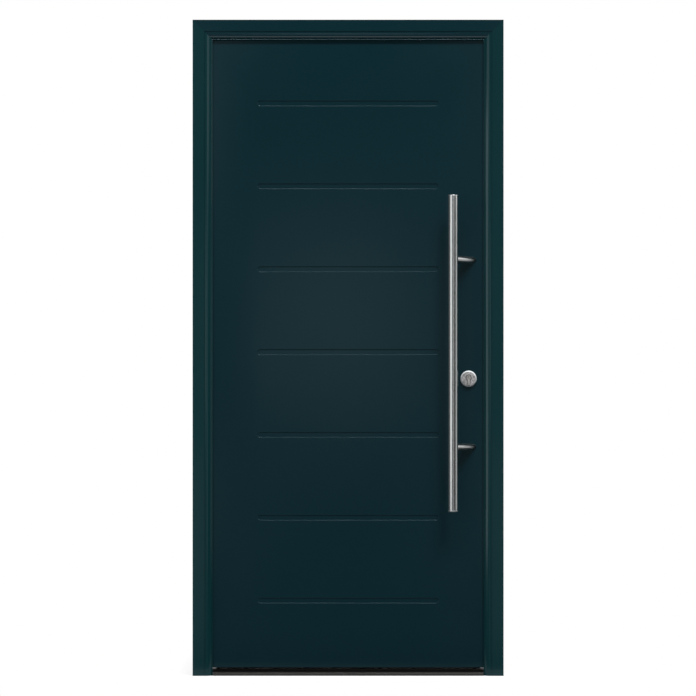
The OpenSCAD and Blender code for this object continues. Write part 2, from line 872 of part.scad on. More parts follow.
module cylinder_body() {
  color(stainless) difference() {
    cylinder_hole(cyl_y0, cyl_y1);
    round_rod(lock_x, key_z, cyl_y0 - e, cyl_y1 + e, plug_r + run_gap);
    translate([lock_x - cam_r, y_mid - cam_d / 2, key_z - cam_r - near_gap])
      cube([2 * cam_r, cam_d, 2 * cam_r]);
    cylinder_screw();
  }
}

// Keyway: a slim slot with a jog, open to one side in Y
module keyway(y0, y1) {
  w = 1.6;
  translate([lock_x, 0, key_z]) along_y(y0, y1 - y0)
    polygon([
      [-w / 2, 4.5], [w / 2, 4.5], [w / 2, 1], [w, 0], [w, -4.5], [0, -4.5], [0, -0.5], [-w / 2, 0.5]
    ]);
}

module outer_plug() {
  color(stainless) difference() {
    round_rod(lock_x, key_z, cyl_y0, y_mid - cam_d / 2 - near_gap, plug_r);
    keyway(cyl_y0 - e, y_mid - cam_d);
  }
}

// Inner plug with the cam that throws the bolts
module inner_plug() {
  color(stainless) difference() {
    union() {
      round_rod(lock_x, key_z, y_mid - cam_d / 2 + near_gap, cyl_y1, plug_r);
      translate([lock_x, 0, key_z]) along_y(y_mid - cam_d / 2 + near_gap, cam_d - 2 * near_gap)
        intersection() {
          circle(cam_r);
          translate([-plug_r / 2, 0]) square([plug_r, cam_r + e]);
        }
    }
    keyway(y_mid + cam_d, cyl_y1 + e);
  }
}

// Round rosette about the Y axis: flat with a bevelled rim, its back at Y 0, front at -Y
module rosette_shape(hollow_r) {
  r = rosette_dia / 2;
  rotate([90, 0, 0]) rotate_extrude()
    polygon([
      [hollow_r, 0], [r, 0], [r, rosette_t - rosette_rim], [r - rosette_rim, rosette_t],
      [hollow_r, rosette_t]
    ]);
}

module outer_rosette() {
  color(stainless) difference() {
    translate([lock_x, y_leaf, key_z - rosette_drop]) rosette_shape(0);
    cylinder_hole(y_leaf - 2 * rosette_t, y_leaf + e, near_gap);
  }
}

module inner_rosette() {
  color(stainless) difference() {
    translate([lock_x, y_in, key_z - rosette_drop]) mirror([0, 1, 0]) rosette_shape(0);
    cylinder_hole(y_in - e, y_in + 2 * rosette_t);
  }
}

module lever_rosette() {
  color(stainless) translate([lock_x, y_in, lever_z]) mirror([0, 1, 0]) rosette_shape(lever_r + near_gap);
}

// Lever: a neck out of the rosette, a round corner and a grip towards the hinges
module lever_handle() {
  color(stainless) translate([lock_x, 0, lever_z]) difference() {
    union() {
      round_rod(0, 0, y_in + near_gap, grip_y, lever_r);
      translate([0, grip_y, 0]) sphere(lever_r);
      translate([0, grip_y, 0]) rotate([0, -90, 0]) cylinder(h = lever_len, r = lever_r);
      translate([-lever_len, grip_y, 0]) sphere(lever_r);
    }
    spindle_block(y_in - e, y_in + spindle_in);
  }
}

module spindle_block(y0, y1) {
  translate([-spindle_w / 2, y0, -spindle_w / 2]) cube([spindle_w, y1 - y0, spindle_w]);
}

module lever_spindle() {
  color(zinc) translate([lock_x, 0, lever_z]) spindle_block(y_mid - case_t / 2, y_in + spindle_in);
}

// Follower: a disc with two journals in the case, turned by the spindle
module lock_follower() {
  half = case_t / 2 - case_wall - near_gap;
  color(zinc) translate([lock_x, 0, lever_z]) difference() {
    union() {
      round_rod(0, 0, y_mid - half, y_mid + half, follower_r);
      round_rod(0, 0, y_mid - case_t / 2, y_mid + case_t / 2, journal_r);
    }
    spindle_block(y_mid - case_t, y_mid + case_t);
  }
}

// Latch bolt: the slope faces outside, so that the closing door pushes it back
module latch_bolt() {
  y0 = y_mid - latch_t / 2;
  color(stainless) {
    translate([0, 0, latch_z]) linear_extrude(latch_h)
      polygon([
        [latch_back, y0], [leaf_x + 1, y0],
        [leaf_x + latch_throw, y0 + latch_t], [latch_back, y0 + latch_t]
      ]);
    translate([case_back + case_wall + latch_throw + 1, y_mid - 3, latch_z + (latch_h - tail_h) / 2])
      cube([latch_back - case_back - case_wall - latch_throw - 1, 6, tail_h]);
  }
}

module dead_bolt() {
  color(stainless) translate([bolt_back, y_mid - bolt_t / 2, bolt_z])
    cube([leaf_x - near_gap - bolt_back, bolt_t, bolt_h]);
}

// Hook at height z: a boss on its rivet, an arm up and a beak
module hook(z) {
  color(stainless) translate([pivot_x, 0, z]) along_y(y_mid - hook_t / 2, hook_t) difference() {
    union() {
      circle(hook_boss_r);
      translate([-hook_arm / 2, 0]) square([hook_arm, hook_len]);
      translate([-hook_arm / 2 - beak_len, hook_len - beak_h]) square([beak_len + e, beak_h]);
    }
    circle(hook_pin_r + run_gap);
  }
}

// Flat rods between the main case and the hook cases, slotted round the faceplate screws
module drive_rods() {
  color(zinc) {
    rod(hook_z[0] + hook_case_above - rod_in, case_low + rod_in);
    rod(case_top - 2 * rod_in, hook_z[1] - hook_case_below + rod_in);
  }
}

module rod(z0, z1) {
  half = screw_r + near_gap;
  difference() {
    translate([rod_x, y_mid - rod_w / 2, z0]) cube([rod_t, rod_w, z1 - z0]);
    for (z = plate_screw_z)
      translate([rod_x - e, y_mid - half, z - half - rod_travel])
        cube([rod_t + 2 * e, 2 * half, 2 * half + rod_travel]);
  }
}

// Bar handle
module bar_tube() {
  len = bar_len - 2 * cap_h;
  color(stainless) translate([bar_x, bar_y, bar_z - len / 2]) difference() {
    cylinder(h = len, r = bar_r);
    translate([0, 0, -e]) cylinder(h = len + 2 * e, r = bar_r - bar_wall);
  }
}

// End cap of the bar, its outer face up: a flat disc with an eased edge, a spigot in the tube
module bar_cap() {
  spigot = 14;
  ease = 1.2;
  rotate_extrude() {
    translate([0, -spigot]) square([bar_r - bar_wall, spigot + e]);
    square([bar_r, cap_h - ease]);
    square([bar_r - ease, cap_h]);
    translate([bar_r - ease, cap_h - ease]) circle(ease);
  }
}

module bar_cap_top() {
  color(stainless) translate([bar_x, bar_y, bar_z + bar_len / 2 - cap_h]) bar_cap();
}

module bar_cap_low() {
  color(stainless) translate([bar_x, bar_y, bar_z - bar_len / 2 + cap_h]) mirror([0, 0, 1]) bar_cap();
}

// Post at height z: a round rod at 45 degrees from the bar to the leaf
module bar_post(z) {
  reach = 2 * bar_out;
  color(stainless) difference() {
    intersection() {
      translate([bar_x, bar_y, z]) rotate([-90, 0, -45]) cylinder(h = reach, r = post_r);
      translate([bar_x - bar_out, y_leaf - bar_out, z - post_dia])
        cube([3 * bar_out, bar_out, 2 * post_dia]);
    }
    translate([bar_x, bar_y, z - post_dia]) cylinder(h = 2 * post_dia, r = bar_r);
    round_rod(post_x, z, y_leaf - post_bolt_in, y_leaf + e, post_bolt_r);
  }
}

// Bolts through the leaf into the posts, with flat round heads inside
module post_bolts() {
  head_t = 4;
  color(stainless) for (z = post_z) {
    round_rod(post_x, z, y_leaf - post_bolt_in, y_in, post_bolt_r);
    round_rod(post_x, z, y_in, y_in + head_t, post_bolt_head_r);
  }
}

module leaf_screws() { color(zinc) { leaf_hinge_screws(); plate_screws(); cylinder_screw(); } }

left_jamb_outer();
left_jamb_isolators();
left_jamb_inner();
right_jamb_outer();
right_jamb_isolators();
right_jamb_inner();
head_outer();
head_isolators();
head_inner();
corner_cleats();
threshold_outer();
threshold_core();
threshold_inner();
left_stop_seal();
right_stop_seal();
head_stop_seal();
strike_rail();
frame_screws();
anchor_caps();
hinge_frame_part(0);  // hinge_frame_part_low
hinge_frame_part(1);  // hinge_frame_part_mid
hinge_frame_part(2);  // hinge_frame_part_top
hinge_pins();
outer_skin();
inner_skin();
foam_core();
hinge_stile();
lock_stile();
top_rail();
bottom_rail();
bottom_seal();
lock_faceplate();
lock_case();
hook_case(hook_z[0]);  // hook_case_low
hook_case(hook_z[1]);  // hook_case_top
cylinder_body();
outer_rosette();
inner_rosette();
lever_rosette();
bar_tube();
bar_cap_low();
bar_cap_top();
bar_post(post_z[0]);  // bar_post_low
bar_post(post_z[1]);  // bar_post_top
post_bolts();
hinge_leaf_part(0);  // hinge_leaf_part_low
hinge_leaf_part(1);  // hinge_leaf_part_mid
hinge_leaf_part(2);  // hinge_leaf_part_top
hinge_bushes();
leaf_screws();
lever_handle();
lever_spindle();
lock_follower();
latch_bolt();
outer_plug();
inner_plug();
dead_bolt();
hook(hook_z[0]);  // hook_low
hook(hook_z[1]);  // hook_top
drive_rods();
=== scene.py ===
"""Looks of the panelled front door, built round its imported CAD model.

Every CAD node gets a procedural material. Stand-ins with eased edges replace the nodes whose edges show, and
each rides on the body of its node. Camera, lamps, world and floor are those of a plain white studio.
"""

import json
import math

import bmesh
import bpy
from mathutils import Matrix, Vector

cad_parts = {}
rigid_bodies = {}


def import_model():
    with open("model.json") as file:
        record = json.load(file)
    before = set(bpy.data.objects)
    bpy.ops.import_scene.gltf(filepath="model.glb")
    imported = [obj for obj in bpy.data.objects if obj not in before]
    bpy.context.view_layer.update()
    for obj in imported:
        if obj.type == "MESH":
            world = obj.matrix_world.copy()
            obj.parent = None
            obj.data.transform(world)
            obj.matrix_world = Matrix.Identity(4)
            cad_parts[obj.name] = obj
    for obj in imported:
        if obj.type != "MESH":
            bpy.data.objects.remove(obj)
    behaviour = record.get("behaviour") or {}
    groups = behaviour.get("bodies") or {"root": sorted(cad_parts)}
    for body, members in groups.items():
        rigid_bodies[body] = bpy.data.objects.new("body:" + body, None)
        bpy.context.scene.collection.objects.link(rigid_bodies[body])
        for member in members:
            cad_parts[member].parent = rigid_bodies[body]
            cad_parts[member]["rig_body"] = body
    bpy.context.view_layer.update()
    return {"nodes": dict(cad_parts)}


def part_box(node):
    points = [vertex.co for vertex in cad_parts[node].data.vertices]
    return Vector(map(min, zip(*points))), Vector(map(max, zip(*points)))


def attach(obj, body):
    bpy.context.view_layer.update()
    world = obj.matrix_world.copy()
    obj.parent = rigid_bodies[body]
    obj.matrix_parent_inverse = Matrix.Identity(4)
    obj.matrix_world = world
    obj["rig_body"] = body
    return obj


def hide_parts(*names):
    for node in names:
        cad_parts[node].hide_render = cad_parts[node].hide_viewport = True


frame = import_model()

# Camera: level, in front of the face of the frame, its picture raised by a small shift
SENSOR = 36.0                       # millimetres
FRAME_FACE_Y = -0.040
VIEW_WIDTH = 2.238                  # metres across the picture at the face of the frame
CENTRE_Z = 1.0544                   # height in the middle of the picture
EYE = (-0.0003, 0.823)              # the camera's X and Z
CAMERA_DISTANCE = 7.4               # from the face of the frame

# Shapes
SAME_PLACE = 1e-6                   # vertices closer than this are one
LEVEL = 1e-5                        # how far two heights of one flat face may differ
FLAT_ANGLE = math.radians(0.3)      # up to which faces count as one flat face
SHARP_ANGLE = math.radians(32)      # from which an edge counts as sharp
GROOVE_DEPTH = 0.002
GROOVE_BEND = (0.5, 1.1)            # radians between a groove's sloped sides and the flat faces
GROOVE_EASE = 0.0012                # bevel along the grooves
SKIN_EASE = 0.0003                  # bevel round the outer skin
DOME_SAG = 0.0022                   # height of the domed ends of the bar
DOME_EDGE = 0.0013                  # height of the ring of the cap's edge that goes down with it
DOME_RINGS = (0.85, 0.7, 0.5, 0.3, 0.12)    # shares of the radius

# Surfaces: scales of the noise
CLOUDS = 1.6
PEEL = 420.0
COAT_GRAIN = 1400.0
SMUDGES = 14.0
PLASTIC_CLOUDS = 35.0
FOAM_CELLS = 420.0
LOCK_GRAIN = 170.0
BLAST_FINER = 4.0                   # the relief of blasted metal against its specks

# Stretch of the brushing lines
RINGS = (60.0, 60.0, 2400.0)
ALONG_X = (20.0, 1600.0, 1600.0)
ALONG_Z = (1600.0, 1600.0, 20.0)

# Depth of the relief in metres
PEEL_DEPTH = 0.00001
BRUSH_DEPTH = 0.000004
BLAST_DEPTH = 0.00002
PLASTIC_DEPTH = 0.00006
FOAM_DEPTH = 0.0006

# Tones
COAT_TINT = (0.8, 0.97, 1.0, 1.0)   # of the coat's gloss
# Painted shade: a near black tone for the turned edges round the key cylinder, where the seam lies in shade
SEAM_PAINTED_SHADE = (0.015, 0.015, 0.015, 1)
RIM_FADE = 0.0005                   # metres from one edge tone to the other
TURNED = (-0.995, -0.95)            # Y of the normal, from the flat face to a turned edge

# World and floor
AMBIENT = 0.22
FRONT_GLOSS = 0.04                  # what gloss and glass see in front of the object
BEHIND = (0.3, 0.7)                 # Y of the direction, from the end of the front to full white
FLOOR_HALF = 1.1
FLOOR_FRONT = 0.22
FLOOR_TONE = 0.35                   # of the floor that lights the object
FLOOR_SHADE = 0.35                  # share of the lit floor in what the camera sees of it
SHADE_SIDE = (0.46, 0.56)           # from full shade to none, outwards along X
SHADE_FRONT = (-0.06, -0.2)         # the same towards the camera
SHADE_BACK = (0.6, 1.1)             # and away from it


def srgb(red, green, blue):
    """Linear colour from 0-255 sRGB values."""
    out = []
    for value in (red, green, blue):
        c = value / 255
        out.append(c / 12.92 if c <= 0.04045 else ((c + 0.055) / 1.055) ** 2.4)
    return (*out, 1.0)


class Graph:
    """A node tree with short ways to add the nodes used here."""

    def __init__(self, tree):
        self.tree = tree

    def feed(self, socket, value):
        """Links an output to a socket, or sets the socket to a plain value."""
        if isinstance(value, bpy.types.NodeSocket):
            self.tree.links.new(value, socket)
        else:
            socket.default_value = value

    def node(self, kind, inputs=None, **settings):
        """A new node with its settings, and with its inputs by name or number."""
        node = self.tree.nodes.new(kind)
        for key, value in settings.items():
            setattr(node, key, value)
        for key, value in (inputs or {}).items():
            self.feed(node.inputs[key], value)
        return node

    def span(self, source, low, high, start=0.35, end=0.65):
        """A value from low to high while the source goes from start to end."""
        ends = {"From Min": start, "From Max": end, "To Min": low, "To Max": high}
        return self.node("ShaderNodeMapRange", {"Value": source, **ends}).outputs["Result"]

    def mix(self, factor, first, second, kind="RGBA"):
        """Mixes two colours, or two values when the kind is FLOAT."""
        sockets = {"Factor": factor, "A": first, "B": second}
        return self.node("ShaderNodeMix", sockets, data_type=kind).outputs["Result"]

    def calc(self, operation, first, second=0.0, clamp=False):
        """The result of a Math node."""
        sockets = {0: first, 1: second}
        return self.node("ShaderNodeMath", sockets, operation=operation, use_clamp=clamp).outputs[0]

    def split(self, vector):
        """The X, Y and Z outputs of a vector."""
        return self.node("ShaderNodeSeparateXYZ", {0: vector}).outputs


class Material(Graph):
    """A node material round one Principled shader."""

    def __init__(self, name):
        self.data = bpy.data.materials.new(name)
        self.data.use_nodes = True
        super().__init__(self.data.node_tree)
        self.shader = self.tree.nodes["Principled BSDF"]
        place = self.node("ShaderNodeTexCoord")
        self.coords = place.outputs["Object"]
        self.normal = place.outputs["Normal"]

    def shade(self, sockets):
        """Feeds sockets of the shader and gives the finished material."""
        for key, value in sockets.items():
            self.feed(self.shader.inputs[key], value)
        return self.data

    def stretched(self, scale):
        return self.node("ShaderNodeMapping", {"Vector": self.coords, "Scale": scale}).outputs["Vector"]

    def noise(self, scale, detail, rough=0.5, vector=None):
        sockets = {"Vector": vector or self.coords, "Scale": scale, "Detail": detail, "Roughness": rough}
        return self.node("ShaderNodeTexNoise", sockets).outputs["Fac"]

    def lines(self, stretch):
        """The fine lines of brushed metal."""
        return self.noise(1.0, 2.0, vector=self.stretched(stretch))

    def bump(self, height, distance, strength):
        sockets = {"Height": height, "Distance": distance, "Strength": strength}
        return self.node("ShaderNodeBump", sockets).outputs["Normal"]


def powder_coat(name, light, dark, roughness, gloss):
    """Satin powder coat: cloudy tone, fine orange peel and specks in its roughness."""
    m = Material(name)
    clouds = m.noise(CLOUDS, 4.0)
    peel = m.noise(PEEL, 2.0)
    grain = m.noise(COAT_GRAIN, 2.0)
    return m.shade({
        "Base Color": m.mix(m.span(clouds, 0.0, 1.0), dark, light),
        "Roughness": m.span(grain, roughness - 0.02, roughness + 0.03),
        "Normal": m.bump(m.mix(0.4, peel, grain, "FLOAT"), PEEL_DEPTH, 0.3),
        "IOR": 1.5,
        "Specular IOR Level": gloss,
        "Specular Tint": COAT_TINT,
    })


def brushed(name, light, dark, stretch, roughness):
    """Brushed metal: fine lines along one direction, and smudges in its roughness."""
    m = Material(name)
    lines = m.lines(stretch)
    worn = m.mix(0.3, lines, m.noise(SMUDGES, 3.0), "FLOAT")
    return m.shade({
        "Base Color": m.mix(m.span(lines, 0.0, 1.0, 0.3, 0.7), dark, light),
        "Roughness": m.span(worn, roughness - 0.02, roughness + 0.02),
        "Normal": m.bump(lines, BRUSH_DEPTH, 0.3),
        "Metallic": 1.0,
    })


def sill(name, low_tone, high_tone, low, high):
    """Dark brushed metal whose tone changes from one height to another: painted shade that darkens it to
    near black towards its top, under the leaf.
    """
    m = Material(name)
    height = m.split(m.coords)["Z"]
    lines = m.lines(ALONG_X)
    return m.shade({
        "Base Color": m.mix(m.span(height, 0.0, 1.0, low, high), low_tone, high_tone),
        "Roughness": m.span(lines, 0.38, 0.42),
        "Normal": m.bump(lines, BRUSH_DEPTH, 0.3),
        "Metallic": 1.0,
    })


def blasted_surface(m, specks, tone, grain, roughness):
    """Shades a material as blasted metal of a tone."""
    return m.shade({
        "Base Color": tone,
        "Roughness": m.span(specks, roughness - 0.05, roughness + 0.05),
        "Normal": m.bump(m.noise(BLAST_FINER * grain, 2.0), BLAST_DEPTH, 0.4),
        "Metallic": 1.0,
    })


def blasted(name, light, dark, grain, roughness):
    """Fine blasted metal: speckled tone and a grainy surface."""
    m = Material(name)
    specks = m.noise(grain, 3.0, 0.6)
    return blasted_surface(m, specks, m.mix(m.span(specks, 0.0, 1.0), dark, light), grain, roughness)


def lock_steel(name, light, dark, inner_edge, outer_edge, middle, limit, roughness):
    """Blasted steel round the lock, whose turned edges get other tones: painted shade in the seam round the
    key cylinder, and a painted highlight on the rim of the rosette.

    Edges within the limit of the middle of a node have the inner tone, those further out the outer one.
    """
    low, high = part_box(middle)
    centre = [(a + b) / 2 for a, b in zip(low, high)]
    m = Material(name)
    specks = m.noise(LOCK_GRAIN, 3.0, 0.6)
    face = m.mix(m.span(specks, 0.0, 1.0), dark, light)
    sockets = {0: m.coords, 1: (1, 0, 1), 2: (-centre[0], 0, -centre[2])}
    flat = m.node("ShaderNodeVectorMath", sockets, operation="MULTIPLY_ADD").outputs[0]
    radius = m.node("ShaderNodeVectorMath", {0: flat}, operation="LENGTH").outputs["Value"]
    # Tone of the turned edges, painted shade or a painted highlight, chosen by the distance from the middle
    edge = m.mix(m.span(radius, 0.0, 1.0, limit - RIM_FADE, limit), inner_edge, outer_edge)
    tone = m.mix(m.span(m.split(m.normal)["Y"], 0.0, 1.0, *TURNED), face, edge)
    return blasted_surface(m, specks, tone, LOCK_GRAIN, roughness)


def plastic(name, light, dark, roughness, grain=900.0):
    m = Material(name)
    fine = m.noise(grain, 2.0)
    return m.shade({
        "Base Color": m.mix(m.span(m.noise(PLASTIC_CLOUDS, 3.0), 0.0, 1.0), dark, light),
        "Roughness": m.span(fine, roughness - 0.05, roughness + 0.05),
        "Normal": m.bump(fine, PLASTIC_DEPTH, 0.3),
    })


def foamed(name, light, dark):
    m = Material(name)
    sockets = {"Vector": m.coords, "Scale": FOAM_CELLS}
    cells = m.node("ShaderNodeTexVoronoi", sockets).outputs["Distance"]
    return m.shade({
        "Base Color": m.mix(m.span(cells, 0.0, 1.0, 0.1, 0.7), dark, light),
        "Normal": m.bump(cells, FOAM_DEPTH, 0.5),
        "Roughness": 0.9,
    })


LEAF_COAT = powder_coat("leaf_coat", srgb(10, 38, 45), srgb(7, 36, 43), 0.19, 0.28)
FRAME_COAT = powder_coat("frame_coat", srgb(9, 45, 49), srgb(6, 43, 47), 0.14, 0.5)
# Painted shade: the head gets a darker, bluer copy of the frame's coat
HEAD_COAT_PAINTED_SHADE = powder_coat("head_coat_painted_shade", srgb(9, 39, 46), srgb(6, 37, 44), 0.14, 0.5)
STEEL_BAR = brushed("steel_bar", (0.67, 0.70, 0.70, 1), (0.62, 0.65, 0.65, 1), RINGS, 0.24)
# Painted shade: the posts get a darker copy of the bar's steel
STEEL_POST_PAINTED_SHADE = brushed("steel_post_painted_shade", (0.55, 0.56, 0.56, 1), (0.49, 0.50, 0.50, 1), RINGS, 0.22)
STEEL = brushed("steel", (0.66, 0.66, 0.65, 1), (0.60, 0.60, 0.59, 1), ALONG_X, 0.24)
# Painted highlight: the end caps get a lighter copy of the bar's steel
STEEL_CAP_PAINTED_HIGHLIGHT = brushed("steel_cap_painted_highlight", (0.84, 0.87, 0.88, 1), (0.76, 0.79, 0.80, 1), ALONG_X, 0.36)
STEEL_LONG = brushed("steel_long", (0.60, 0.60, 0.59, 1), (0.50, 0.50, 0.49, 1), ALONG_Z, 0.32)
ROSETTE_STEEL = blasted("rosette_steel", (0.66, 0.66, 0.66, 1), (0.5, 0.5, 0.5, 1), 380.0, 0.36)
# Painted shade on the edges of the hole round the key cylinder, and a painted highlight: a lighter tone on
# the rosette's turned outer rim
LOCK_ROSETTE = lock_steel("lock_rosette", (0.72, 0.71, 0.72, 1), (0.32, 0.32, 0.32, 1),
                          SEAM_PAINTED_SHADE, (0.86, 0.89, 0.90, 1), "outer_rosette", limit=0.0205, roughness=0.78)
# Painted shade: the cylinder's turned outer edges are near black as a dark outline; the edges round the plug
# keep a plain grey
CYLINDER_STEEL = lock_steel("cylinder_nickel", (0.80, 0.79, 0.78, 1), (0.44, 0.43, 0.42, 1),
                            (0.6, 0.6, 0.6, 1), SEAM_PAINTED_SHADE, "outer_plug", limit=0.0077, roughness=0.5)
PLUG_NICKEL = blasted("plug_nickel", (0.78, 0.77, 0.75, 1), (0.48, 0.47, 0.45, 1), 300.0, 0.5)
ZINC = blasted("zinc", (0.62, 0.62, 0.60, 1), (0.44, 0.45, 0.46, 1), 120.0, 0.36)
ALUMINIUM = brushed("aluminium", (0.50, 0.50, 0.49, 1), (0.42, 0.42, 0.41, 1), ALONG_X, 0.34)
# Painted shade: the sill runs from dark grey at 3 mm to near black at 15 mm height
DARK_ALUMINIUM_PAINTED_SHADE = sill("dark_aluminium_painted_shade", (0.11, 0.11, 0.107, 1), (0.005, 0.005, 0.005, 1), 0.003, 0.015)
ALU_BLOCK = blasted("cast_aluminium", (0.55, 0.55, 0.55, 1), (0.42, 0.42, 0.42, 1), 200.0, 0.42)
BLACK_PLASTIC = plastic("black_plastic", srgb(34, 35, 36), srgb(24, 25, 26), 0.45)
RUBBER = plastic("rubber", srgb(22, 22, 22), srgb(15, 15, 16), 0.7, 500.0)
FOAM = foamed("foam", srgb(238, 226, 184), srgb(206, 188, 140))

HINGE_PARTS = [f"hinge_{side}_part_{place}" for side in ("frame", "leaf") for place in ("low", "mid", "top")]
FINISHES = {
    FRAME_COAT: ["left_jamb_outer", "left_jamb_inner", "right_jamb_outer", "right_jamb_inner", "head_inner",
                 *HINGE_PARTS],
    HEAD_COAT_PAINTED_SHADE: ["head_outer"],
    LEAF_COAT: ["outer_skin", "inner_skin"],
    BLACK_PLASTIC: ["left_jamb_isolators", "right_jamb_isolators", "head_isolators", "threshold_core",
                    "anchor_caps", "hinge_stile", "lock_stile", "top_rail", "bottom_rail", "hinge_bushes"],
    RUBBER: ["left_stop_seal", "right_stop_seal", "head_stop_seal", "bottom_seal"],
    FOAM: ["foam_core"],
    DARK_ALUMINIUM_PAINTED_SHADE: ["threshold_outer"],
    ALUMINIUM: ["threshold_inner"],
    ALU_BLOCK: ["corner_cleats"],
    ZINC: ["frame_screws", "leaf_screws", "lock_case", "hook_case_low", "hook_case_top", "lock_follower",
           "lever_spindle", "drive_rods"],
    STEEL_LONG: ["strike_rail", "lock_faceplate", "hinge_pins", "latch_bolt", "dead_bolt", "hook_low",
                 "hook_top"],
    STEEL_BAR: ["bar_tube"],
    STEEL_POST_PAINTED_SHADE: ["bar_post_low", "bar_post_top", "post_bolts"],
    STEEL_CAP_PAINTED_HIGHLIGHT: ["bar_cap_low", "bar_cap_top"],
    STEEL: ["lever_handle"],
    LOCK_ROSETTE: ["outer_rosette"],
    ROSETTE_STEEL: ["inner_rosette", "lever_rosette"],
    CYLINDER_STEEL: ["cylinder_body"],
    PLUG_NICKEL: ["outer_plug", "inner_plug"],
}
for material, names in FINISHES.items():
    for name in names:
        slots = frame["nodes"][name].data.materials
        slots.clear()
        slots.append(material)
unfinished = sorted(set(frame["nodes"]) - {n for names in FINISHES.values() for n in names})
if unfinished:
    raise RuntimeError(f"nodes without a finish: {unfinished}")


def clean_mesh(node):
    """The mesh of a CAD node as a new mesh: whole flat faces, no stored normals."""
    bm = bmesh.new()
    bm.from_mesh(frame["nodes"][node].data)
    bmesh.ops.remove_doubles(bm, verts=bm.verts, dist=SAME_PLACE)
    bmesh.ops.dissolve_limit(bm, angle_limit=FLAT_ANGLE, verts=bm.verts, edges=bm.edges)
    mesh = bpy.data.meshes.new(f"{node}_eased")
    bm.to_mesh(mesh)
    bm.free()
    if "custom_normal" in mesh.attributes:
        mesh.attributes.remove(mesh.attributes["custom_normal"])
    mesh.shade_smooth()
    mesh.set_sharp_from_angle(angle=SHARP_ANGLE)
    mesh.materials.append(frame["nodes"][node].data.materials[0])
    return mesh


def stand_in(node):
    """A piece with a clean mesh in place of a CAD node, on the same body and material slot."""
    piece = bpy.data.objects.new(f"{node}_eased", clean_mesh(node))
    bpy.context.scene.collection.objects.link(piece)
    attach(piece, frame["nodes"][node]["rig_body"])
    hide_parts(node)
    return piece


def add_bevel(piece, width, segments=2, method="ANGLE"):
    bevel = piece.modifiers.new("edges", "BEVEL")
    bevel.width = width
    bevel.segments = segments
    bevel.limit_method = method
    bevel.angle_limit = SHARP_ANGLE
    bevel.harden_normals = True


# Width of the eased edges in metres, and the nodes that get it
EASED = {
    0.0006: ["left_jamb_outer", "right_jamb_outer", "head_outer", "threshold_outer", "threshold_inner",
             "left_jamb_inner", "right_jamb_inner", "head_inner"],
    0.0022: ["outer_rosette"],
    0.0016: ["cylinder_body"],
    0.0005: ["inner_rosette", "lever_rosette", "bar_post_low", "bar_post_top", "lever_handle", "post_bolts",
             *HINGE_PARTS],
    0.0003: ["outer_plug", "inner_plug", "bar_tube", "lock_faceplate", "strike_rail", "latch_bolt",
             "dead_bolt", "hook_low", "hook_top", "inner_skin"],
}
for width, names in EASED.items():
    for name in names:
        add_bevel(stand_in(name), width)


def close_dome(bm, rim, axis_x, axis_y, rise_at):
    """Closes a round opening with rings of faces; rise_at gives the height at a share of the radius."""
    count = len(rim)
    outer = rim
    for part in DOME_RINGS:
        height = rise_at(part)
        inner = []
        for v in rim:
            x = axis_x + part * (v.co.x - axis_x)
            y = axis_y + part * (v.co.y - axis_y)
            inner.append(bm.verts.new((x, y, height)))
        for i in range(count):
            j = (i + 1) % count
            bm.faces.new((outer[i], outer[j], inner[j], inner[i]))
        outer = inner
    bm.faces.new(outer)


def domed_cap(node, outward):
    """An end cap of the bar whose flat end becomes a low dome; outward is +1 or -1 along Z."""
    low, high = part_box(node)
    axis_x, axis_y = (low[0] + high[0]) / 2, (low[1] + high[1]) / 2
    end_z = high[2] if outward > 0 else low[2]
    piece = stand_in(node)
    bm = bmesh.new()
    bm.from_mesh(piece.data)
    flat = [f for f in bm.faces if all(abs(v.co.z - end_z) < LEVEL for v in f.verts)]
    bmesh.ops.delete(bm, geom=flat, context="FACES")
    rim = [v for v in bm.verts if abs(v.co.z - end_z) < LEVEL]
    rim.sort(key=lambda v: math.atan2(v.co.y - axis_y, v.co.x - axis_x))
    for v in bm.verts:
        if abs(v.co.z - end_z) < DOME_EDGE:
            v.co.z -= outward * DOME_SAG
    close_dome(bm, rim, axis_x, axis_y, lambda part: end_z - outward * DOME_SAG * part * part)
    bmesh.ops.recalc_face_normals(bm, faces=bm.faces)
    for face in bm.faces:
        face.smooth = True
    bm.to_mesh(piece.data)
    bm.free()
    piece.data.set_sharp_from_angle(angle=SHARP_ANGLE)


domed_cap("bar_cap_top", 1)
domed_cap("bar_cap_low", -1)


def groove_edges(mesh):
    """Marks the edges of the grooves: where the flat face or the flat bottom meets the sloped sides."""
    face_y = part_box("outer_skin")[0][1]
    mesh.attributes.new("bevel_weight_edge", "FLOAT", "EDGE")
    bm = bmesh.new()
    bm.from_mesh(mesh)
    layer = bm.edges.layers.float["bevel_weight_edge"]
    for edge in bm.edges:
        first, second = [v.co.y - face_y for v in edge.verts]
        on_face = abs(first) < LEVEL or abs(first - GROOVE_DEPTH) < LEVEL
        level = abs(first - second) < LEVEL and on_face
        sloped = len(edge.link_faces) == 2 and GROOVE_BEND[0] < edge.calc_face_angle() < GROOVE_BEND[1]
        edge[layer] = 1.0 if level and sloped else 0.0
    bm.to_mesh(mesh)
    bm.free()


skin = stand_in("outer_skin")
groove_edges(skin.data)
add_bevel(skin, GROOVE_EASE, 4, "WEIGHT")
add_bevel(skin, SKIN_EASE)


cam_data = bpy.data.cameras.new("camera")
cam_data.sensor_width = SENSOR
cam_data.lens = SENSOR * CAMERA_DISTANCE / VIEW_WIDTH
cam_data.shift_y = (CENTRE_Z - EYE[1]) / VIEW_WIDTH
camera = bpy.data.objects.new("camera", cam_data)
camera.location = (EYE[0], FRAME_FACE_Y - CAMERA_DISTANCE, EYE[1])
camera.rotation_euler = (math.radians(90), 0, 0)
bpy.context.scene.collection.objects.link(camera)
bpy.context.scene.camera = camera


